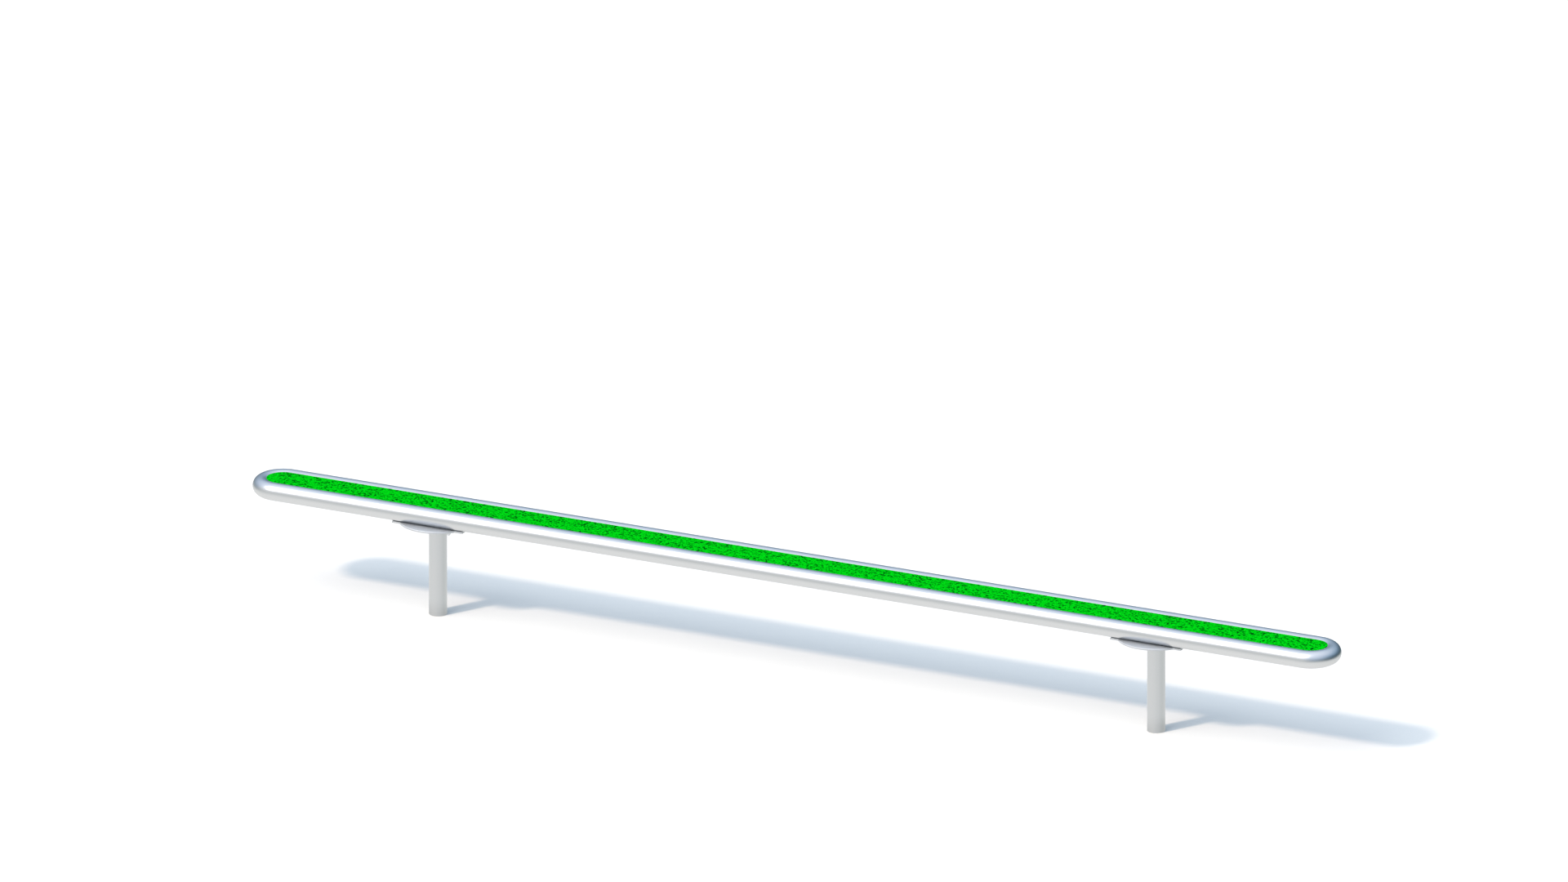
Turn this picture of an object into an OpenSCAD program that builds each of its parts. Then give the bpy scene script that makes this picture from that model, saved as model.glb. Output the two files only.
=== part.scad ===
// Backless street bench: a slim ring of round steel tube with a rubber inlay, on two posts.
// Millimetres. X runs along the bench, Y from front to rear, and Z is up from the ground.
// The origin lies on the ground under the middle of the seat.

/* [Seat ring] */
// Overall length of the seat ring
length = 4600; // [3800:10:6000]
// Overall width of the seat ring
width = 235; // [190:1:300]
// Height of the tubes' crown above the ground
seat_h = 456; // [370:1:560]
// Outside diameter of the ring's tube
tube_d = 70; // [58:0.1:86]
// Wall of the ring's tube
tube_wall = 3; // [2:0.1:5]

/* [Tube joints] */
// Length of the sleeve inside each tube joint
sleeve_l = 70; // [50:1:100]
// Wall of that sleeve
sleeve_wall = 3; // [2:0.1:5]
// Gap between the sleeve and the tube around it
sleeve_gap = 0.2; // [0.1:0.05:0.5]
// Straight length between the sleeve's end and the start of the bend
sleeve_run_out = 5; // [2:1:40]

/* [Deck] */
// Thickness of the steel sheet under the rubber
deck_t = 3; // [2:0.1:5]
// Root gap between the deck's pieces and the tubes that they are welded to
weld_gap = 0.3; // [0.1:0.05:0.6]
// Gap between two deck sheets at a seam
seam_gap = 0.6; // [0.2:0.1:2]
// Diameter of a drain hole in the deck
drain_d = 12; // [8:1:20]
// Thickness of a cross bar
bar_t = 6; // [4:0.5:10]
// Height of a cross bar
bar_h = 30; // [20:1:38]
// Distance from the bend's centre to the outermost cross bar
bar_inset = 352.5; // [200:0.5:600]

/* [Rubber inlay] */
// How far the rubber's top lies below the crown of the tubes
inlay_drop = 4.6; // [2:0.1:12]
// Thickness of the green top layer
top_layer_t = 12; // [8:0.5:16]
// Gap between the rubber and the tube that it is laid against
rubber_gap = 0.3; // [0.1:0.05:0.6]

/* [Flange plates] */
// Thickness of a flange plate
plate_t = 8; // [6:0.1:12]
// Length of its straight part, along the bench
plate_l = 300; // [240:1:400]
// How far the straight part reaches past the rails' axes
plate_lap = 15.5; // [13:0.5:25]
// How far the round part stands out past the seat ring
disc_lap = 34.5; // [10:0.5:60]
// Rounding of the plate's edges
plate_edge_r = 2.5; // [1:0.1:4]

/* [Posts] */
// Distance between the two posts
post_spacing = 3050; // [2400:10:3700]
// Outside diameter of a post
post_d = 70; // [58:0.1:90]
// Wall of a post
post_wall = 3; // [2:0.1:5]
// Thickness of the plug in a post's foot
plug_t = 12; // [8:1:20]
// Gap between the plug and the post
plug_gap = 0.2; // [0.1:0.05:0.5]
// Core diameter of the plug's M16 thread, for a ground anchor
anchor_core_d = 14; // [10:0.1:17.5]

/* [Fixings] */
// Diameter of the M10 studs
stud_d = 10; // [8:0.5:12]
// Distance along the bench from a post to its studs
stud_x = 85; // [50:1:105]
// Radial gap of a stud in the tapped pieces
thread_gap = 0.1; // [0.05:0.05:0.3]
// Radial gap of a stud in the flange plate
hole_gap = 0.5; // [0.3:0.1:1]
// Radial gap of a stud in its washer
washer_gap = 0.25; // [0.1:0.05:0.5]
// Outside diameter of a washer
washer_d = 20; // [18:0.5:24]
// Thickness of a washer
washer_t = 2; // [1:0.1:3]
// Width of a cap nut across its flats
nut_af = 17; // [16:0.5:20]
// Height of a cap nut's hexagon
nut_hex_h = 8; // [6:0.5:12]
// Diameter of a cap nut's dome
nut_dome_d = 15.2; // [14:0.1:16]
// Height of the straight wall under the dome
nut_collar_h = 2.4; // [1:0.1:6]
// Depth of a cap nut's thread
nut_thread_l = 12; // [10:0.5:14]
// Diameter of the tapped bush in a rail
bush_d = 16; // [14.5:0.5:20]
// Length of that bush
bush_l = 20; // [12:1:30]
// Radial gap between the bush and the hole in the rail
bush_gap = 0.2; // [0.1:0.05:0.5]
// Distance from each end of a stud to the end of the thread that it is screwed into
stud_end_gap = 0.6; // [0.2:0.1:2]

/* [Hidden] */
$fn = 96;
BARS = 7;

LEFT = -1;
RIGHT = 1;
FRONT = -1;
REAR = 1;
CUT = 1;                                    // how far a cutting shape runs past a face
STEEL = [0.76, 0.78, 0.80];
BRIGHT = [0.88, 0.89, 0.90];
GREEN = [0.05, 0.74, 0.12];
BLACK = [0.10, 0.10, 0.10];

tube_r = tube_d / 2;
bend_r = width / 2 - tube_r;                // radius of the end bends' centreline
end_x = length / 2 - width / 2;             // the end bends' centres
rail_z = seat_h - tube_r;                   // height of the tubes' axis
leg_l = sleeve_l / 2 + sleeve_run_out;      // straight leg of an end bend
joint_x = end_x - leg_l;                    // where the rails meet the end bends

deck_top = rail_z + deck_t / 2;
deck_bottom = rail_z - deck_t / 2;
deck_half_w = bend_r - tube_r - weld_gap;
bar_pitch = 2 * (end_x - bar_inset) / (BARS - 1);
seam_x = bar_pitch;                         // the deck's seams lie on cross bars
middle_drains = [-0.5 * bar_pitch, 0.5 * bar_pitch];
side_drains = [1.5 * bar_pitch, end_x];

inlay_top = seat_h - inlay_drop;
layer_z = inlay_top - top_layer_t;          // where the two rubber layers meet

plate_top = rail_z - tube_r;                // the rails lie on the flange plates
plate_bottom = plate_top - plate_t;
plate_half_w = bend_r + plate_lap;
disc_r = width / 2 + disc_lap;
edge_r = min(plate_edge_r, 0.45 * plate_t);

post_x = post_spacing / 2;
washer_bottom = plate_bottom - washer_t;
stud_bottom = washer_bottom - nut_thread_l + stud_end_gap;
stud_top = plate_top + bush_l - stud_end_gap;
nut_dome_z = nut_hex_h + nut_collar_h;      // the dome's centre, down from the nut's face

// A hollow straight tube along X, centred on the origin
module tube_x(l, d, wall) {
    rotate([0, 90, 0]) linear_extrude(l, center = true) ring(d, wall);
}

module ring(d, wall) {
    difference() {
        circle(d = d);
        circle(d = d - 2 * wall);
    }
}

// Puts its children at both fixings of one flange: front inner and rear outer
module at_fixings(side) {
    translate([side * (post_x - stud_x), FRONT * bend_r, 0]) children();
    translate([side * (post_x + stud_x), REAR * bend_r, 0]) children();
}

// A rail, with a hole in its underside for each tapped bush
module rail(y_side) {
    difference() {
        translate([0, y_side * bend_r, rail_z]) tube_x(2 * joint_x, tube_d, tube_wall);
        for (side = [LEFT, RIGHT]) {
            at_fixings(side)
                translate([0, 0, plate_top - CUT])
                    cylinder(d = bush_d + 2 * bush_gap, h = tube_r + CUT);
        }
    }
}

module front_rail() color(STEEL) rail(FRONT);
module rear_rail() color(STEEL) rail(REAR);

// A half-turn of tube with a short straight leg at each end
module end_bend(side) {
    rotate([0, 0, side == RIGHT ? 0 : 180]) translate([end_x, 0, rail_z]) {
        rotate([0, 0, -90]) rotate_extrude(angle = 180)
            translate([bend_r, 0]) ring(tube_d, tube_wall);
        for (y_side = [FRONT, REAR])
            translate([-leg_l / 2, y_side * bend_r, 0]) tube_x(leg_l, tube_d, tube_wall);
    }
}

module left_end_bend() color(STEEL) end_bend(LEFT);
module right_end_bend() color(STEEL) end_bend(RIGHT);

// The sleeve that lines up a rail and a bend inside their joint
module sleeve(side, y_side) {
    color(STEEL) translate([side * joint_x, y_side * bend_r, rail_z])
        tube_x(sleeve_l, tube_d - 2 * tube_wall - 2 * sleeve_gap, sleeve_wall);
}

// Outline of the whole deck: as wide as the gap between the tubes, with round ends
module deck_outline() {
    square([2 * end_x, 2 * deck_half_w], center = true);
    for (side = [LEFT, RIGHT]) translate([side * end_x, 0]) circle(deck_half_w);
}

// One deck sheet between two places along the bench
module deck_sheet(x_from, x_to, drains) {
    color(STEEL) translate([0, 0, deck_bottom]) linear_extrude(deck_t) difference() {
        intersection() {
            deck_outline();
            translate([x_from, -width]) square([x_to - x_from, 2 * width]);
        }
        for (x = drains) translate([x, 0]) circle(d = drain_d);
    }
}

module deck_sheet_left() deck_sheet(-length, -seam_x - seam_gap / 2, -side_drains);
module deck_sheet_middle() {
    deck_sheet(-seam_x + seam_gap / 2, seam_x - seam_gap / 2, middle_drains);
}
module deck_sheet_right() deck_sheet(seam_x + seam_gap / 2, length, side_drains);

// A flat bar on edge under the deck, cut to fit between the round tubes
module cross_bar(i) {
    color(STEEL) translate([(i - (BARS + 1) / 2) * bar_pitch, 0, 0])
        rotate([90, 0, 90]) linear_extrude(bar_t, center = true) difference() {
            translate([-bend_r, deck_bottom - bar_h]) square([2 * bend_r, bar_h]);
            for (y_side = [FRONT, REAR])
                translate([y_side * bend_r, rail_z]) circle(tube_r + weld_gap);
        }
}

// One layer of the inlay, whose sides follow the round tubes
module rubber_layer(z_from, z_to) {
    h = z_to - z_from;
    rotate([90, 0, 90]) linear_extrude(2 * end_x, center = true) difference() {
        translate([-bend_r, z_from]) square([2 * bend_r, h]);
        for (y_side = [FRONT, REAR])
            translate([y_side * bend_r, rail_z]) circle(tube_r + rubber_gap);
    }
    for (side = [LEFT, RIGHT])
        rotate([0, 0, side == RIGHT ? 0 : 180]) translate([end_x, 0, 0])
            rotate([0, 0, -90]) rotate_extrude(angle = 180) difference() {
                translate([0, z_from]) square([bend_r, h]);
                translate([bend_r, rail_z]) circle(tube_r + rubber_gap);
            }
}

module rubber_base() color(BLACK) rubber_layer(deck_top, layer_z);
module rubber_top() color(GREEN) rubber_layer(layer_z, inlay_top);

// A rectangle with two opposite ends rounded over, for the section of a plate's edge
module rounded_section(half_w) {
    translate([-half_w + edge_r, 0]) square([2 * (half_w - edge_r), plate_t]);
    translate([-half_w, edge_r]) square([2 * half_w, plate_t - 2 * edge_r]);
    for (x = [-1, 1], z = [edge_r, plate_t - edge_r])
        translate([x * (half_w - edge_r), z]) circle(edge_r);
}

// The plate that joins both rails to a post: a rectangle with a round lobe front and rear
module flange(side) {
    color(STEEL) difference() {
        translate([side * post_x, 0, plate_bottom]) {
            intersection() {
                rotate([90, 0, 90]) linear_extrude(plate_l, center = true)
                    rounded_section(plate_half_w);
                rotate([90, 0, 0]) linear_extrude(2 * plate_half_w, center = true)
                    rounded_section(plate_l / 2);
            }
            intersection() {
                rotate_extrude() intersection() {
                    rounded_section(disc_r);
                    square([disc_r, plate_t]);
                }
                translate([edge_r - plate_l / 2, -disc_r, 0])
                    cube([plate_l - 2 * edge_r, 2 * disc_r, plate_t]);
            }
        }
        at_fixings(side)
            translate([0, 0, plate_bottom - CUT])
                cylinder(d = stud_d + 2 * hole_gap, h = plate_t + 2 * CUT);
    }
}

module post(side) {
    color(STEEL) translate([side * post_x, 0, 0])
        linear_extrude(plate_bottom) ring(post_d, post_wall);
}

// The disc welded into a post's foot, tapped for a ground anchor
module foot_plug(side) {
    color(STEEL) translate([side * post_x, 0, 0]) difference() {
        cylinder(d = post_d - 2 * post_wall - 2 * plug_gap, h = plug_t);
        translate([0, 0, -CUT]) cylinder(d = anchor_core_d, h = plug_t + 2 * CUT);
    }
}

// The tapped bushes welded into the rails' undersides
module bushes(side) {
    color(STEEL) at_fixings(side) translate([0, 0, plate_top])
        linear_extrude(bush_l) ring(bush_d, bush_d / 2 - stud_d / 2 - thread_gap);
}

module studs(side) {
    color(BRIGHT) at_fixings(side) translate([0, 0, stud_bottom])
        cylinder(d = stud_d, h = stud_top - stud_bottom);
}

module washers(side) {
    color(BRIGHT) at_fixings(side) translate([0, 0, washer_bottom])
        linear_extrude(washer_t) ring(washer_d, washer_d / 2 - stud_d / 2 - washer_gap);
}

// A domed cap nut that hangs below its washer
module cap_nut() {
    difference() {
        union() {
            translate([0, 0, -nut_hex_h]) cylinder(d = nut_af / cos(30), h = nut_hex_h, $fn = 6);
            translate([0, 0, -nut_dome_z]) cylinder(d = nut_dome_d, h = nut_dome_z);
            translate([0, 0, -nut_dome_z]) sphere(d = nut_dome_d);
        }
        translate([0, 0, -nut_thread_l]) cylinder(d = stud_d + 2 * thread_gap, h = nut_thread_l + CUT);
    }
}

module cap_nuts(side) color(BRIGHT) at_fixings(side) translate([0, 0, washer_bottom]) cap_nut();

front_rail();
rear_rail();
left_end_bend();
right_end_bend();
sleeve(LEFT, FRONT);  // sleeve_front_left
sleeve(RIGHT, FRONT);  // sleeve_front_right
sleeve(LEFT, REAR);  // sleeve_rear_left
sleeve(RIGHT, REAR);  // sleeve_rear_right
deck_sheet_left();
deck_sheet_middle();
deck_sheet_right();
for (i = [1 : BARS]) cross_bar(i);
rubber_base();
rubber_top();
flange(LEFT);  // flange_left
flange(RIGHT);  // flange_right
post(LEFT);  // post_left
post(RIGHT);  // post_right
foot_plug(LEFT);  // foot_plug_left
foot_plug(RIGHT);  // foot_plug_right
bushes(LEFT);  // bushes_left
bushes(RIGHT);  // bushes_right
studs(LEFT);  // studs_left
studs(RIGHT);  // studs_right
washers(LEFT);  // washers_left
washers(RIGHT);  // washers_right
cap_nuts(LEFT);  // cap_nuts_left
cap_nuts(RIGHT);  // cap_nuts_right
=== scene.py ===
# %% [markdown]
# # A street bench in steel tube and rubber granulate
#
# The bench is a long, slim ring of round steel tube. A band of green rubber granulate fills the ring,
# and two round posts carry it on flange plates. The frame that is loaded here already holds every
# steel part at its true size, so this lesson gives those parts their finish, lays the rubber, runs the
# weld beads, and makes the cap nuts. Everything is in metres: X runs along the bench, Y goes from the
# front to the rear, and Z is up from the ground.

# %% Load the frame and measure it
import math

import bmesh
import bpy
from mathutils import Matrix, Vector, noise


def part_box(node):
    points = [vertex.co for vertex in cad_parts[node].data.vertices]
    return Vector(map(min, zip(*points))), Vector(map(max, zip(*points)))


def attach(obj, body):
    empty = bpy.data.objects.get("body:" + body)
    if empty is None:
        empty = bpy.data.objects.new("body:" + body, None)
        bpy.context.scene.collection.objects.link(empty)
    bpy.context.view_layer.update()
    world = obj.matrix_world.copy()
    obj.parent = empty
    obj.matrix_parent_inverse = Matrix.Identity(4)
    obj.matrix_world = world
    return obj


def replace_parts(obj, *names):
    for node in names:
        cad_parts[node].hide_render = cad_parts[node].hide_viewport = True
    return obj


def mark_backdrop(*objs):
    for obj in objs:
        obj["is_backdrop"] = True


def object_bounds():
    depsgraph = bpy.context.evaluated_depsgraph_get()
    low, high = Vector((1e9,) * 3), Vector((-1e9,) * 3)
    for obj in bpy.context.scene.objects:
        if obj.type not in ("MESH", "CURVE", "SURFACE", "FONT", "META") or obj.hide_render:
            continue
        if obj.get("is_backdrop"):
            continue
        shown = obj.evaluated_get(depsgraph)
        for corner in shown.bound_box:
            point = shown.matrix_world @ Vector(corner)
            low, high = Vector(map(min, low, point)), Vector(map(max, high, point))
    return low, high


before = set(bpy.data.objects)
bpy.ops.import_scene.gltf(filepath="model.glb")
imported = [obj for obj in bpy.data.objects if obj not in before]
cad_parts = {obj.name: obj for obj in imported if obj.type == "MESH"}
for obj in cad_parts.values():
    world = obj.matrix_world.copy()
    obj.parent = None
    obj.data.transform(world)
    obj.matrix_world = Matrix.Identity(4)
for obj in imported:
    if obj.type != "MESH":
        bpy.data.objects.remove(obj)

cad_low, cad_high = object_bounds()
MM = 0.001
print("frame box", [round(v, 4) for v in (*cad_low, *cad_high)])

# %% [markdown]
# The driving sizes are read from the frame's own parts. A rail's box gives the tube's diameter and
# the height of its axis, and the ring's overall box gives the radius of the end bends.

# %% Sizes that the pieces share
rail_low, rail_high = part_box("front_rail")
ring_low, ring_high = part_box("left_end_bend")
post_low, post_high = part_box("post_left")
layer_low, layer_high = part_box("rubber_top")

TUBE_R = (rail_high.z - rail_low.z) / 2
AXIS_Z = (rail_high.z + rail_low.z) / 2
BEND_R = (ring_high.y - ring_low.y) / 2 - TUBE_R
END_X = cad_high.x - BEND_R - TUBE_R
POST_R = (post_high.x - post_low.x) / 2
POST_X = abs(post_low.x + post_high.x) / 2
PLATE_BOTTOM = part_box("flange_left")[0].z
INLAY_TOP = layer_high.z
LAYER_BOTTOM = layer_low.z
print("tube radius", round(TUBE_R, 4), "bend radius", round(BEND_R, 4), "bend centres", round(END_X, 4))

# %% [markdown]
# The camera looks at the bench from the front right and a little above, with parallel rays, as a
# catalogue picture does. Three unit vectors describe it: right, up, and back towards the camera. They
# follow from its azimuth and elevation, so the view is set by two angles and a width.

# %% Camera
CAMERA_AZIMUTH = math.radians(25.44)
CAMERA_ELEVATION = math.radians(20.0)
VIEW_WIDTH = 6.013
VIEW_CENTRE = (-0.0502, 0.8852)
CAMERA_DISTANCE = 24.0
CAMERA_REACH = 100


def add_camera():
    sin_a, cos_a = math.sin(CAMERA_AZIMUTH), math.cos(CAMERA_AZIMUTH)
    sin_e, cos_e = math.sin(CAMERA_ELEVATION), math.cos(CAMERA_ELEVATION)
    right = Vector((cos_a, sin_a, 0))
    back = Vector((sin_a * cos_e, -cos_a * cos_e, sin_e))
    up = back.cross(right)
    data = bpy.data.cameras.new("camera")
    data.type = "ORTHO"
    data.ortho_scale = VIEW_WIDTH
    data.clip_end = CAMERA_REACH
    camera = bpy.data.objects.new("camera", data)
    turn = Matrix((right, up, back)).transposed().to_4x4()
    place = right * VIEW_CENTRE[0] + up * VIEW_CENTRE[1] + back * CAMERA_DISTANCE
    camera.matrix_world = Matrix.Translation(place) @ turn
    bpy.context.scene.collection.objects.link(camera)
    bpy.context.scene.camera = camera
    return camera


camera = add_camera()
print("camera at", [round(v, 3) for v in camera.matrix_world.translation])

# %% [markdown]
# Shader graphs are easier to read as formulas than as chains of nodes. `Value` wraps one socket, and
# Python's operators on it add Math nodes. `Graph` owns a node tree and adds any other node: its
# settings are applied first, and its sockets then take either numbers or links.

# %% Shader helpers
class Value:
    """A socket in a node tree that can be used in arithmetic."""

    def __init__(self, graph, socket):
        self.graph = graph
        self.socket = socket

    def math(self, operation, *others):
        return self.graph.node("Math", {"operation": operation}, dict(enumerate((self, *others))))

    def __add__(self, other):
        return self.math("ADD", other)

    def __sub__(self, other):
        return self.math("SUBTRACT", other)

    def __mul__(self, other):
        return self.math("MULTIPLY", other)

    def __truediv__(self, other):
        return self.math("DIVIDE", other)

    def __rsub__(self, other):
        return self.graph.node("Math", {"operation": "SUBTRACT"}, {0: other, 1: self})

    __radd__ = __add__
    __rmul__ = __mul__

    def clamp(self, low=0.0, high=1.0):
        return self.math("MAXIMUM", low).math("MINIMUM", high)

    def step(self, start, end):
        """0 up to start, 1 from end on, and smooth between them."""
        settings = {"interpolation_type": "SMOOTHSTEP"}
        return self.graph.node("MapRange", settings, {"Value": self, "From Min": start, "From Max": end})


class Graph:
    """A node tree, and one method that adds any node to it."""

    def __init__(self, tree):
        self.tree = tree

    def node(self, kind, settings=None, inputs=None, output=0):
        node = self.tree.nodes.new("ShaderNode" + kind)
        for name, setting in (settings or {}).items():
            if name == "ramp":
                self.set_ramp(node.color_ramp, setting)
            else:
                setattr(node, name, setting)
        for name, value in (inputs or {}).items():
            self.plug(node.inputs[name], value)
        return Value(self, node.outputs[output])

    def plug(self, socket, value):
        if isinstance(value, Value):
            self.tree.links.new(value.socket, socket)
        else:
            socket.default_value = value

    def set_ramp(self, ramp, stops):
        ramp.elements[0].position, ramp.elements[1].position = 0.0, 1.0
        while len(ramp.elements) < len(stops):
            ramp.elements.new(0.5)
        for element, (position, colour) in zip(ramp.elements, stops):
            element.position = position
            element.color = (*colour, 1)

    def mix(self, factor, first, second, blend="MIX"):
        """Mixes two colours. Sockets 6 and 7 are the colour inputs and output 2 is the colour result."""
        settings = {"data_type": "RGBA", "blend_type": blend}
        return self.node("Mix", settings, {0: factor, 6: first, 7: second}, output=2)

    def place(self, scale=(1, 1, 1)):
        """Object coordinates in metres, stretched by scale."""
        point = self.node("TexCoord", output="Object")
        return self.node("Mapping", None, {"Vector": point, "Scale": scale})

    def noise(self, vector, scale, detail=2.0, roughness=0.5):
        inputs = {"Vector": vector, "Scale": scale, "Detail": detail, "Roughness": roughness}
        return self.node("TexNoise", None, inputs)

    def cells(self, vector, scale, feature="F1", output=0):
        return self.node("TexVoronoi", {"feature": feature}, {"Vector": vector, "Scale": scale}, output)


def grey(level):
    return (level, level, level, 1)


def new_material(name, **constants):
    """A material with a Principled shader, whose unvarying sockets are set directly."""
    material = bpy.data.materials.new(name)
    material.use_nodes = True
    graph = Graph(material.node_tree)
    shader = material.node_tree.nodes["Principled BSDF"]
    for socket, value in constants.items():
        shader.inputs[socket.replace("_", " ")].default_value = value
    return material, graph, shader


print("shader helpers ready")

# %% [markdown]
# The bench stands on a plain pale floor that runs past the picture on every side, so there is no
# horizon. The floor is a stage piece and isn't part of the bench. It takes the shadow but doesn't show
# in the steel, which mirrors the sky dome below: a white floor in the mirror would wash the tube out.

# %% Floor
FLOOR_HALF = 40.0
FLOOR_ALBEDO = (0.760, 0.786, 0.774, 1)


def add_floor():
    mesh = bpy.data.meshes.new("floor")
    bm = bmesh.new()
    bmesh.ops.create_grid(bm, x_segments=1, y_segments=1, size=FLOOR_HALF)
    bm.to_mesh(mesh)
    bm.free()
    floor = bpy.data.objects.new("floor", mesh)
    bpy.context.scene.collection.objects.link(floor)
    material, graph, shader = new_material("floor_paint", Roughness=1.0, Specular_IOR_Level=0.0)
    shader.inputs["Base Color"].default_value = FLOOR_ALBEDO
    mesh.materials.append(material)
    floor.visible_glossy = False
    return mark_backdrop(floor)


add_floor()
print("floor reaches", FLOOR_HALF, "m each way")

# %% [markdown]
# Satin steel shows what surrounds it, so most of the light is an open sky. The dome has three colour
# ramps from straight down, through the horizon, to straight up: one seen towards the sun, one across
# it and one away from it, where the low sky is a deep blue grey. A direction's place between them is
# how far it points along the sun's heading. Two lamps from the front left do the rest. The sun casts
# the soft shadow and warms the floor, but isn't mirrored. The glow is the bright haze around it, forty
# degrees wide, and its mirror image is the broad white line along the tubes. Neither lamp's light is
# passed on by the steel, which would leave hard patches where a plate faces a tube.

# %% Dome and lamps
SUN_FROM = Vector((-0.378, -0.595, 0.709))
SUN_COLOUR = (1.0, 0.77, 0.605)
SUN_STRENGTH = 2.04
SUN_ANGLE = math.radians(5.8)
GLOW_FROM = Vector((-0.32, -0.53, 0.82)).normalized()
GLOW_COLOUR = (1.0, 0.97, 0.94)
GLOW_STRENGTH = 1.35
GLOW_ANGLE = math.radians(40.0)
GROUND = (0.98, 0.98, 0.97)
ZENITH = (0.96, 1.04, 1.20)
TOWARDS_SUN = (
    (0.0, GROUND), (0.25, (0.95, 0.95, 0.94)), (0.42, (0.75, 0.77, 0.77)),
    (0.5, (0.60, 0.62, 0.62)), (0.63, (0.76, 0.77, 0.78)), (0.75, (1.02, 1.03, 1.06)), (1.0, ZENITH))
ACROSS_SUN = (
    (0.0, GROUND), (0.33, (0.92, 0.93, 0.92)), (0.40, (0.60, 0.62, 0.62)),
    (0.5, (0.28, 0.35, 0.40)), (0.63, (0.39, 0.48, 0.61)), (0.75, (0.60, 0.71, 0.89)), (1.0, ZENITH))
AWAY_FROM_SUN = (
    (0.0, GROUND), (0.34, (0.86, 0.88, 0.87)), (0.42, (0.16, 0.21, 0.22)),
    (0.5, (0.03, 0.07, 0.10)), (0.63, (0.15, 0.24, 0.33)), (0.75, (0.34, 0.49, 0.66)), (1.0, ZENITH))
AWAY_TO_ACROSS = (-0.75, 0.25)
ACROSS_TO_TOWARDS = (0.4, 1.0)


def light_dome():
    world = bpy.data.worlds.new("dome")
    world.use_nodes = True
    bpy.context.scene.world = world
    graph = Graph(world.node_tree)
    direction = graph.node("TexCoord", output="Generated")
    height = graph.node("SeparateXYZ", None, {0: direction}, output="Z") * 0.5 + 0.5
    heading = SUN_FROM.xy.normalized().to_3d()
    along = {0: direction, 1: heading}
    sunward = graph.node("VectorMath", {"operation": "DOT_PRODUCT"}, along, output="Value")
    towards, across, away = [graph.node("ValToRGB", {"ramp": stops}, {0: height})
                             for stops in (TOWARDS_SUN, ACROSS_SUN, AWAY_FROM_SUN)]
    shaded = graph.mix(sunward.step(*AWAY_TO_ACROSS), away, across)
    colour = graph.mix(sunward.step(*ACROSS_TO_TOWARDS), shaded, towards)
    graph.plug(world.node_tree.nodes["Background"].inputs["Color"], colour)


def add_lamp(name, comes_from, strength, angle, colour, in_mirror):
    """A far lamp whose light is used once: what it lights doesn't light anything else."""
    data = bpy.data.lights.new(name, "SUN")
    data.energy = strength
    data.angle = angle
    data.color = colour
    data.cycles.max_bounces = 0
    lamp = bpy.data.objects.new(name, data)
    lamp.matrix_world = comes_from.to_track_quat("Z", "Y").to_matrix().to_4x4()
    lamp.visible_glossy = in_mirror
    bpy.context.scene.collection.objects.link(lamp)


light_dome()
add_lamp("sun", SUN_FROM, SUN_STRENGTH, SUN_ANGLE, SUN_COLOUR, False)
add_lamp("glow", GLOW_FROM, GLOW_STRENGTH, GLOW_ANGLE, GLOW_COLOUR, True)
bpy.context.scene.view_settings.view_transform = "Standard"
print("sun stands", round(math.degrees(math.asin(SUN_FROM.normalized().z)), 1), "degrees up")

# %% [markdown]
# The tube is satin steel. Close up it has a faint grain from the finishing belt, which runs along the
# tube and follows the end bends, a broad cloudiness in the sheen, and a little dust where splashes
# dry. The grain's own coordinates are worked out here: the distance along the ring's centreline, and
# the distance across it.

# %% Satin steel
GRAIN_LENGTH = 0.09
GRAIN_WIDTH = 0.0011
STEEL = (0.765, 0.772, 0.778, 1)
STEEL_DARK = (0.715, 0.724, 0.732, 1)
DUST = (0.42, 0.40, 0.37, 1)
CLOUDS_PER_M = 9.0
SPANGLES_PER_M = 95.0
SPECKS_PER_M = 900.0
SPLASH_HEIGHT = 0.07
SPLASH_DUST = 0.22
SCRATCH_DEPTH = 0.00005


def ring_grain(graph):
    """Grain along the seat ring's tube, straight on the rails and turning with the bends."""
    point = graph.node("TexCoord", output="Object")
    x = graph.node("SeparateXYZ", None, {0: point}, output="X")
    y = graph.node("SeparateXYZ", None, {0: point}, output="Y")
    z = graph.node("SeparateXYZ", None, {0: point}, output="Z")
    past = (x.math("ABSOLUTE") - END_X).math("MAXIMUM", 0.0)
    turn = past.math("ARCTAN2", y.math("ABSOLUTE"))
    radius = (past * past + y * y).math("SQRT")
    along = x.math("ABSOLUTE").math("MINIMUM", END_X) + turn * BEND_R
    side = x.math("SIGN") * 7.0 + y.math("SIGN") * 3.0
    inputs = {0: along / GRAIN_LENGTH + side, 1: radius / GRAIN_WIDTH, 2: z / GRAIN_WIDTH}
    return graph.noise(graph.node("CombineXYZ", None, inputs), 1.0, 3.0, 0.6)


def straight_grain(graph, axis):
    """Grain along one axis of a straight piece."""
    scale = [1 / GRAIN_WIDTH] * 3
    scale[axis] = 1 / GRAIN_LENGTH
    return graph.noise(graph.place(scale), 1.0, 3.0, 0.6)


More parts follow.
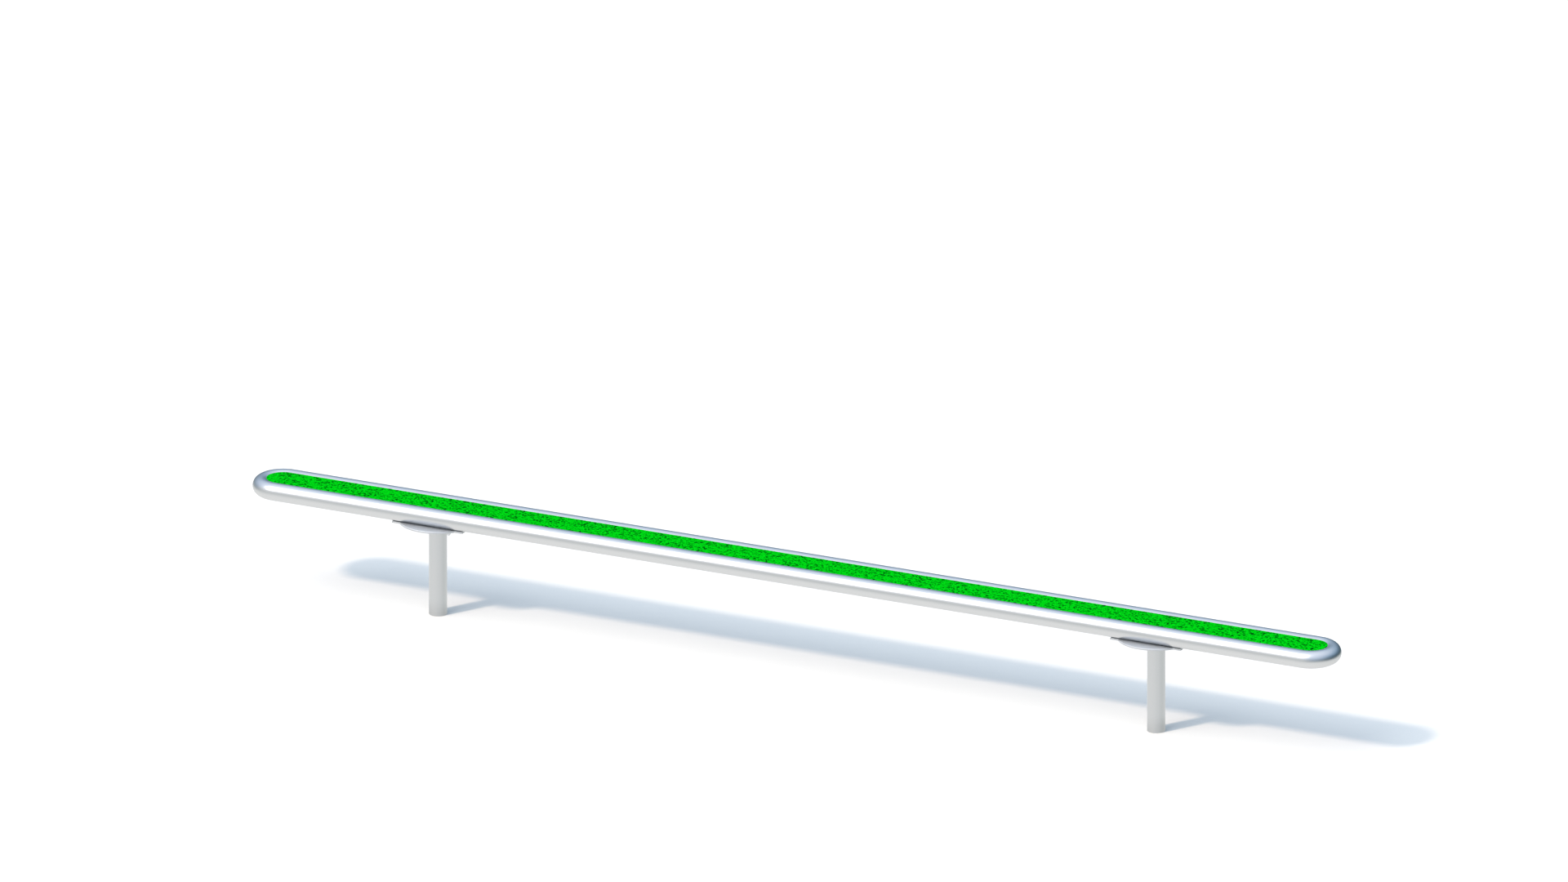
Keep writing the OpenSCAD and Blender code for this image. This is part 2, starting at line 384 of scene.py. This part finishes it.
def steel_material(name, grain_of, roughness, relief, metallic=1.0):
    """Satin steel. The grain, a broad cloudiness and faint spangles vary its tone and its sheen."""
    material, graph, shader = new_material(name, Metallic=metallic)
    grain = grain_of(graph)
    cloud = graph.noise(graph.place(), CLOUDS_PER_M, 4.0, 0.55)
    spangle = graph.cells(graph.place(), SPANGLES_PER_M)
    fine = graph.noise(graph.place(), SPECKS_PER_M, 2.0)
    height = graph.node("SeparateXYZ", None, {0: graph.place()}, output="Z")
    splash = (1.0 - (height + (cloud - 0.5) * 0.06).step(0.0, SPLASH_HEIGHT)) * SPLASH_DUST
    tone = ((grain - 0.5) * 0.35 + (cloud - 0.5) * 0.3 + (spangle - 0.4) * 0.12 + 0.6).clamp()
    metal = graph.mix(tone, STEEL_DARK, STEEL)
    graph.plug(shader.inputs["Base Color"], graph.mix(splash, metal, DUST))
    sheen = (cloud - 0.5) * 0.03 + (grain - 0.5) * 0.05 + (spangle - 0.4) * 0.02 + splash * 0.5
    graph.plug(shader.inputs["Roughness"], (sheen + roughness).clamp(0.08, 1.0))
    relief_map = grain * 0.7 + fine * 0.3
    bump = {"Height": relief_map, "Strength": relief, "Distance": SCRATCH_DEPTH}
    graph.plug(shader.inputs["Normal"], graph.node("Bump", None, bump))
    return material


def finish_nodes(names, material):
    for name in names:
        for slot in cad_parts[name].material_slots:
            slot.material = material


def grain_along_x(graph):
    return straight_grain(graph, 0)


def grain_along_z(graph):
    return straight_grain(graph, 2)


ring_steel = steel_material("ring_steel", ring_grain, roughness=0.31, relief=0.15)
post_steel = steel_material("post_steel", grain_along_z, roughness=0.30, relief=0.3)
plate_steel = steel_material("plate_steel", grain_along_x, roughness=0.62, relief=0.3, metallic=0.92)
inner_steel = steel_material("inner_steel", grain_along_x, roughness=0.48, relief=0.7)

RING = ["front_rail", "rear_rail", "left_end_bend", "right_end_bend"]
PLATES = ["flange_left", "flange_right"]
POSTS = ["post_left", "post_right", "foot_plug_left", "foot_plug_right"]
INNER_KINDS = ("sleeve", "deck_sheet", "cross_bar", "bushes")
INNER = [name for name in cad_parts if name.startswith(INNER_KINDS)]
STEEL_PARTS = ((RING, ring_steel), (PLATES, plate_steel), (POSTS, post_steel), (INNER, inner_steel))
for names, material in STEEL_PARTS:
    finish_nodes(names, material)
    print(material.name, "on", len(names), "nodes")

# %% [markdown]
# The studs, washers and cap nuts are bright zinc plated. Zinc has a bluish sheen with small cloudy
# spots where the passivation is thicker.

# %% Zinc plate
ZINC = (0.80, 0.82, 0.85, 1)
ZINC_CLOUD = (0.66, 0.68, 0.70, 1)
SPOTS_PER_M = 260.0
ZINC_SPECKS_PER_M = 1400.0


def zinc_material():
    material, graph, shader = new_material("zinc_plate", Metallic=1.0)
    spots = graph.noise(graph.place(), SPOTS_PER_M, 3.0)
    graph.plug(shader.inputs["Base Color"], graph.mix(spots.step(0.35, 0.75), ZINC, ZINC_CLOUD))
    graph.plug(shader.inputs["Roughness"], (spots - 0.5) * 0.25 + 0.3)
    specks = graph.noise(graph.place(), ZINC_SPECKS_PER_M)
    bump = {"Height": specks, "Strength": 0.3, "Distance": SCRATCH_DEPTH}
    graph.plug(shader.inputs["Normal"], graph.node("Bump", None, bump))
    return material


zinc = zinc_material()
finish_nodes([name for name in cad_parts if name.startswith(("studs", "washers", "cap_nuts"))], zinc)
print("zinc plate ready")

# %% [markdown]
# Coloured granulate is crumbs of rubber, three to seven millimetres across, bound together with clear
# resin and floated flat. It is fully matt. Each crumb has its own tone, crumbs that lie deep get a
# painted shade, and the gaps between crumbs are painted in shade too. Cells of two sizes make the
# crumbs: together they pick the tone and the painted shade, and the distance to a large cell's edge
# paints the shade into the gaps and shapes the relief.

# %% Green and black granulate
CRUMB = 0.0068
GREEN_LIGHT = (0.0, 0.600, 0.0065, 1)
# The dark crumb colour is painted shade for crumbs that lie deep, and the gap colour is painted shade in
# the gaps.
GREEN_PAINTED_SHADE = (0.0, 0.05, 0.003, 1)
GREEN_GAP_PAINTED_SHADE = (0.0, 0.035, 0.002, 1)
WOBBLE = 0.004
WOBBLES_PER_M = 240.0
PATCHES_PER_M = 26.0
SMALL_CRUMBS = 1.9
SHADE_RANGE = (0.20, 0.42)
GAP_WIDTH = 0.16
GAP_SHADE = 0.55
CRUMB_BUMP = 0.0012
# The black layer's dark and gap colours are painted shade as well.
BLACK_LIGHT, BLACK_PAINTED_SHADE, BLACK_GAP_PAINTED_SHADE = grey(0.045), grey(0.012), grey(0.003)


def granulate_material(name, light, painted_shade, gap_painted_shade):
    """Crumbs from light to a painted shade on deep crumbs, with painted shade in the gaps between them."""
    material, graph, shader = new_material(name, Specular_IOR_Level=0.0)
    place = graph.place()
    wander = graph.node("TexNoise", None, {"Vector": place, "Scale": WOBBLES_PER_M}, output="Color")
    wobble = graph.node("VectorMath", {"operation": "SCALE"}, {0: wander, "Scale": WOBBLE})
    bent = graph.node("VectorMath", {"operation": "ADD"}, {0: place, 1: wobble})
    crumb_colour = graph.cells(bent, 1 / CRUMB, output="Color")
    shade = graph.node("SeparateColor", None, {0: crumb_colour})
    small_colour = graph.cells(bent, SMALL_CRUMBS / CRUMB, output="Color")
    small_shade = graph.node("SeparateColor", None, {0: small_colour})
    edge = graph.cells(bent, 1 / CRUMB, "DISTANCE_TO_EDGE")
    patch = graph.noise(place, PATCHES_PER_M, 3.0)
    # The dark end of this mix is painted shade on deep crumbs, and the gaps get painted shade on top.
    depth = (shade * 0.7 + small_shade * 0.3 + (patch - 0.5) * 0.3).step(*SHADE_RANGE)
    colour = graph.mix(depth, painted_shade, light)
    gap = 1.0 - edge.step(0.0, GAP_WIDTH)
    graph.plug(shader.inputs["Base Color"], graph.mix(gap * GAP_SHADE, colour, gap_painted_shade))
    graph.plug(shader.inputs["Roughness"], (small_shade * 0.2 + gap * 0.2 + 0.5).clamp())
    relief = edge.step(0.0, 0.35) * 0.7 + small_shade * 0.3
    bump = {"Height": relief, "Strength": 0.8, "Distance": CRUMB_BUMP}
    graph.plug(shader.inputs["Normal"], graph.node("Bump", None, bump))
    return material


green_granulate = granulate_material("green_granulate_with_painted_shade", GREEN_LIGHT, GREEN_PAINTED_SHADE, GREEN_GAP_PAINTED_SHADE)
black_granulate = granulate_material("black_granulate_with_painted_shade", BLACK_LIGHT, BLACK_PAINTED_SHADE, BLACK_GAP_PAINTED_SHADE)
finish_nodes(["rubber_base", "rubber_top"], black_granulate)
print("crumbs are", CRUMB / MM, "mm across")

# %% [markdown]
# The green layer gets its own mesh. Its cross section is drawn as a chain of points: across the top,
# over a small rounded edge, down beside the round tube, and back along the bottom. One spin with no
# turn and a step along X sweeps the whole section down the straight part in long strips, and the
# strips are then cut across, which is far quicker than small steps. The same chain's half is spun by
# a half turn at each end. Where the sweeps meet, doubled points are merged. Then every point of the
# top is lifted or sunk a little, crumb by crumb.

# %% Section of the green layer
CELL = 0.0032
COARSE_STEPS = 44
TUBE_CLEARANCE = 0.0004
EDGE_ROUND = 0.0007
BOTTOM_CLEARANCE = 0.0001
SIDE_POINTS = 5
CRUMB_RELIEF = 0.0007
SAME_POINT = 0.00005


def side_y(z):
    """How far from the middle the layer reaches at height z, beside the round tube."""
    reach = TUBE_R + TUBE_CLEARANCE
    return BEND_R - math.sqrt(reach * reach - (z - AXIS_Z) ** 2)


def half_section():
    """Points (y, z) from the middle of the top, over the edge, to the middle of the bottom."""
    edge_y = side_y(INLAY_TOP) - EDGE_ROUND
    across = round(edge_y / CELL)
    points = [(edge_y * i / across, INLAY_TOP) for i in range(across + 1)]
    for angle in (35, 70):
        a = math.radians(angle)
        z = INLAY_TOP - EDGE_ROUND * (1 - math.cos(a))
        points.append((edge_y + EDGE_ROUND * math.sin(a) * 0.9, z))
    floor_z = LAYER_BOTTOM + BOTTOM_CLEARANCE
    drop = INLAY_TOP - EDGE_ROUND - floor_z
    for i in range(SIDE_POINTS):
        z = INLAY_TOP - EDGE_ROUND - drop * i / (SIDE_POINTS - 1)
        points.append((side_y(z), z))
    points.append((side_y(floor_z) / 2, floor_z))
    points.append((0.0, floor_z))
    return points


SECTION = half_section()
print("half section has", len(SECTION), "points")

# %% Sweep the green layer
def chain(bm, points, x):
    """Vertices and edges that join the points, in the plane at x."""
    verts = [bm.verts.new((x, y, z)) for y, z in points]
    edges = [bm.edges.new(pair) for pair in zip(verts, verts[1:])]
    return verts + edges


def sweep_straight(bm):
    closed = SECTION + [(-y, z) for y, z in reversed(SECTION[1:-1])] + [SECTION[0]]
    geometry = chain(bm, closed, -END_X)
    cuts = round(2 * END_X / CELL / COARSE_STEPS) - 1
    bmesh.ops.spin(bm, geom=geometry, cent=(0, 0, 0), axis=(0, 0, 1), dvec=(2 * END_X / COARSE_STEPS, 0, 0),
                   angle=0, steps=COARSE_STEPS, use_merge=False, use_duplicate=False)
    long_edges = [edge for edge in bm.edges if abs(edge.verts[0].co.x - edge.verts[1].co.x) > CELL]
    bmesh.ops.subdivide_edges(bm, edges=long_edges, cuts=cuts, use_grid_fill=False)


def sweep_end(bm, side):
    geometry = chain(bm, [(-side * y, z) for y, z in SECTION], side * END_X)
    steps = round(math.pi * side_y(INLAY_TOP) / CELL)
    bmesh.ops.spin(bm, geom=geometry, cent=(side * END_X, 0, 0), axis=(0, 0, 1), dvec=(0, 0, 0),
                   angle=math.pi, steps=steps, use_merge=False, use_duplicate=False)


def crumb_height(point):
    """Relief of the floated surface: crumbs, and a slow unevenness from the float."""
    near, points = noise.voronoi(point / CRUMB)
    crumb = min(near[1] - near[0], 0.6) / 0.6
    tilt = noise.cell(points[0] * 3.7) * 0.35
    slow = noise.noise(point * 7.0) * 0.35
    return (crumb * 0.75 + tilt - 0.8 + slow) * CRUMB_RELIEF


def lay_green_layer():
    bm = bmesh.new()
    sweep_straight(bm)
    for side in (-1, 1):
        sweep_end(bm, side)
    bmesh.ops.remove_doubles(bm, verts=bm.verts, dist=SAME_POINT)
    bmesh.ops.recalc_face_normals(bm, faces=bm.faces)
    for vert in bm.verts:
        if vert.co.z > INLAY_TOP - EDGE_ROUND / 2:
            vert.co.z += crumb_height(vert.co)
    for face in bm.faces:
        face.smooth = True
    mesh = bpy.data.meshes.new("green_layer")
    bm.to_mesh(mesh)
    bm.free()
    mesh.materials.append(green_granulate)
    piece = bpy.data.objects.new("green_layer", mesh)
    bpy.context.scene.collection.objects.link(piece)
    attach(piece, "root")
    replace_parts(piece, "rubber_top")
    return piece


green_layer = lay_green_layer()
print("green layer has", len(green_layer.data.polygons), "faces")

# %% [markdown]
# Fillet welds hold the steelwork together: one right round the top of each post, one down each face
# of every cross bar's ends, and short stitches along the deck's edges. A bead starts as a three-sided
# section with a slightly full face. One spin sweeps it, round the post, round the tube or straight
# along. Then every section is swelled and shrunk about its corner, which gives the ripples, and an
# open bead fades out at both ends, which are closed with a face each.

# %% Weld beads
WELD_LEG = 0.0045
SMALL_LEG = 0.0035
RIPPLE_PITCH = 0.0024
RIPPLE = 0.07
STEPS_PER_RIPPLE = 5
FADE = 0.004
STITCH_LENGTH = 0.040
STITCH_PITCH = 0.305
STITCHES = 14
CONTACT = 0.0001
FACE_STEPS = 6
FULLNESS = 0.4
BAR_WELD_TURN = math.radians(44)

bar_low, bar_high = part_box("cross_bar_1")
bar_names = [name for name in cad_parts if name.startswith("cross_bar")]
bar_centres = [(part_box(name)[0].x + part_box(name)[1].x) / 2 for name in bar_names]
BAR_HALF = (bar_high.x - bar_low.x) / 2
DECK_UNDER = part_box("deck_sheet_middle")[0].z


def bead_section(bm, corner, across, down, leg):
    """A closed chain of points round the section, and the edges between them."""
    points = [corner]
    for i in range(FACE_STEPS + 1):
        t = math.pi / 2 * i / FACE_STEPS
        full = across * math.cos(t) + down * math.sin(t)
        flat = across * (1 - i / FACE_STEPS) + down * (i / FACE_STEPS)
        points.append(corner + (full * FULLNESS + flat * (1 - FULLNESS)) * leg)
    verts = [bm.verts.new(point) for point in points]
    edges = [bm.edges.new(pair) for pair in zip(verts, verts[1:] + verts[:1])]
    return verts + edges


def sweep_bead(name, corner, across, down, leg, length, centre, axis, angle, step):
    """Sweeps one bead. A closed ring turns a full circle, and anything less gets faded ends."""
    bm = bmesh.new()
    steps = round(length / RIPPLE_PITCH) * STEPS_PER_RIPPLE
    closed = angle == math.tau
    geometry = bead_section(bm, corner, across, down, leg)
    bmesh.ops.spin(bm, geom=geometry, cent=centre, axis=axis, dvec=step * (length / steps), angle=angle,
                   steps=steps, use_merge=closed, use_duplicate=False)
    bm.verts.ensure_lookup_table()
    count = len(geometry) // 2
    for i in range(len(bm.verts) // count):
        section = bm.verts[i * count:(i + 1) * count]
        travel = length * i / steps
        swell = 1 + RIPPLE * math.cos(math.tau * travel / RIPPLE_PITCH)
        if not closed:
            swell *= math.sqrt(min(1.0, (min(travel, length - travel) + MM / 2) / FADE))
        root = section[0].co.copy()
        for vert in section[1:]:
            vert.co = root + (vert.co - root) * swell
    bmesh.ops.holes_fill(bm, edges=[edge for edge in bm.edges if edge.is_boundary], sides=0)
    mesh = bpy.data.meshes.new(name)
    bm.to_mesh(mesh)
    bm.free()
    return mesh


def gather(name, pattern, places, material):
    """One piece made of copies of a pattern mesh, one at each place."""
    bm = bmesh.new()
    for place in places:
        before = len(bm.verts)
        bm.from_mesh(pattern)
        bm.verts.ensure_lookup_table()
        bmesh.ops.transform(bm, matrix=place, verts=bm.verts[before:])
    bmesh.ops.recalc_face_normals(bm, faces=bm.faces)
    for face in bm.faces:
        face.smooth = True
    mesh = bpy.data.meshes.new(name)
    bm.to_mesh(mesh)
    bm.free()
    mesh.materials.append(material)
    piece = bpy.data.objects.new(name, mesh)
    bpy.context.scene.collection.objects.link(piece)
    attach(piece, "root")
    print(name, len(mesh.polygons), "faces")
    return piece


def mirrored(x, y, at_x=0.0):
    """A place for a copy: turned over in X or Y when the sign is -1, then moved along X."""
    return Matrix.Translation((at_x, 0, 0)) @ Matrix.Diagonal((x, y, 1, 1))


X_AXIS, Y_AXIS, Z_AXIS = Vector((1, 0, 0)), Vector((0, 1, 0)), Vector((0, 0, 1))
STILL = Vector((0, 0, 0))
post_corner = Vector((POST_R + CONTACT, 0, PLATE_BOTTOM - CONTACT))
post_bead = sweep_bead("post_bead", post_corner, X_AXIS, -Z_AXIS, WELD_LEG, math.tau * POST_R,
                       STILL, Z_AXIS, math.tau, STILL)
post_places = [mirrored(1, 1, side * POST_X) for side in (-1, 1)]
gather("post_welds", post_bead, post_places, plate_steel)

tube_centre = Vector((0, -BEND_R, AXIS_Z))
bar_corner = Vector((BAR_HALF + CONTACT, -BEND_R + TUBE_R + CONTACT, AXIS_Z))
bar_bead = sweep_bead("bar_bead", bar_corner, X_AXIS, Y_AXIS, SMALL_LEG, BAR_WELD_TURN * TUBE_R,
                      tube_centre, X_AXIS, -BAR_WELD_TURN, STILL)
bar_places = [mirrored(x, y, centre) for centre in bar_centres for x in (-1, 1) for y in (-1, 1)]
gather("bar_welds", bar_bead, bar_places, inner_steel)

deck_corner = Vector((0, -side_y(DECK_UNDER) + CONTACT, DECK_UNDER - CONTACT))
stitch = sweep_bead("stitch", deck_corner, Y_AXIS, -Z_AXIS, SMALL_LEG, STITCH_LENGTH,
                    STILL, Z_AXIS, 0, X_AXIS)
stitch_x = [(i - (STITCHES - 1) / 2) * STITCH_PITCH - STITCH_LENGTH / 2 for i in range(STITCHES)]
stitch_places = [mirrored(1, y, x) for x in stitch_x for y in (-1, 1)]
gather("deck_welds", stitch, stitch_places, inner_steel)

# %% [markdown]
# A cap nut is a hexagon whose corners are turned off at a slant, a short round collar and a dome. The
# hexagon is a six-sided prism with its edges bevelled. The collar and dome are one line of points
# spun round the nut's axis. The line starts on the axis, inside the hexagon, so the shell is closed.

# %% Cap nuts
NUT_FLATS = 0.017
HEX_HEIGHT = 0.008
DOME_R = 0.0076
STUD_R = 0.005
DOME_TURN_STEPS = 64
DOME_POINTS = 12
HEX_EDGE = 0.0004
HEX_RIM = 0.0007
COLLAR = 0.0006
COLLAR_SUNK = 0.0005
NUT_SAME_POINT = 0.00001


def make_nut():
    bm = bmesh.new()
    corner_r = NUT_FLATS / 2 / math.cos(math.pi / 6)
    place = Matrix.Translation((0, 0, -HEX_HEIGHT / 2))
    bmesh.ops.create_cone(bm, cap_ends=True, segments=6, radius1=corner_r, radius2=corner_r,
                          depth=HEX_HEIGHT, matrix=place)
    upright = [edge for edge in bm.edges if abs(edge.verts[0].co.z - edge.verts[1].co.z) > MM]
    bmesh.ops.bevel(bm, geom=upright, offset=HEX_EDGE, segments=3, profile=0.5, affect="EDGES", material=-1)
    rims = [edge for edge in bm.edges if abs(edge.verts[0].co.z - edge.verts[1].co.z) < MM / 10]
    bmesh.ops.bevel(bm, geom=rims, offset=HEX_RIM, segments=3, profile=0.5, affect="EDGES", material=-1)
    straight = nut_height - HEX_HEIGHT - DOME_R
    sunk = -HEX_HEIGHT + COLLAR_SUNK
    points = [(0.0, sunk), (DOME_R + COLLAR, sunk), (DOME_R + COLLAR, -HEX_HEIGHT),
              (DOME_R + COLLAR / 4, -HEX_HEIGHT - COLLAR / 3), (DOME_R, -HEX_HEIGHT - COLLAR)]
    for i in range(DOME_POINTS + 1):
        t = math.pi / 2 * i / DOME_POINTS
        points.append((DOME_R * math.cos(t), -HEX_HEIGHT - straight - DOME_R * math.sin(t)))
    verts = [bm.verts.new((r, 0, z)) for r, z in points]
    edges = [bm.edges.new(pair) for pair in zip(verts, verts[1:])]
    bmesh.ops.spin(bm, geom=verts + edges, cent=STILL, axis=Z_AXIS, dvec=STILL, angle=math.tau,
                   steps=DOME_TURN_STEPS, use_merge=True, use_duplicate=False)
    bmesh.ops.remove_doubles(bm, verts=bm.verts, dist=NUT_SAME_POINT)
    mesh = bpy.data.meshes.new("nut")
    bm.to_mesh(mesh)
    bm.free()
    return mesh


nuts_low, nuts_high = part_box("cap_nuts_left")
studs_low, studs_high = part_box("studs_left")
nut_height = nuts_high.z - nuts_low.z
nut = make_nut()
near_x, far_x = abs(studs_high.x) + STUD_R, abs(studs_low.x) - STUD_R
for side, end in ((-1, "left"), (1, "right")):
    spots = ((near_x, -BEND_R), (far_x, BEND_R))
    places = [Matrix.Translation((side * x, y, nuts_high.z)) for x, y in spots]
    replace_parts(gather("capped_nuts_" + end, nut, places, zinc), "cap_nuts_" + end)
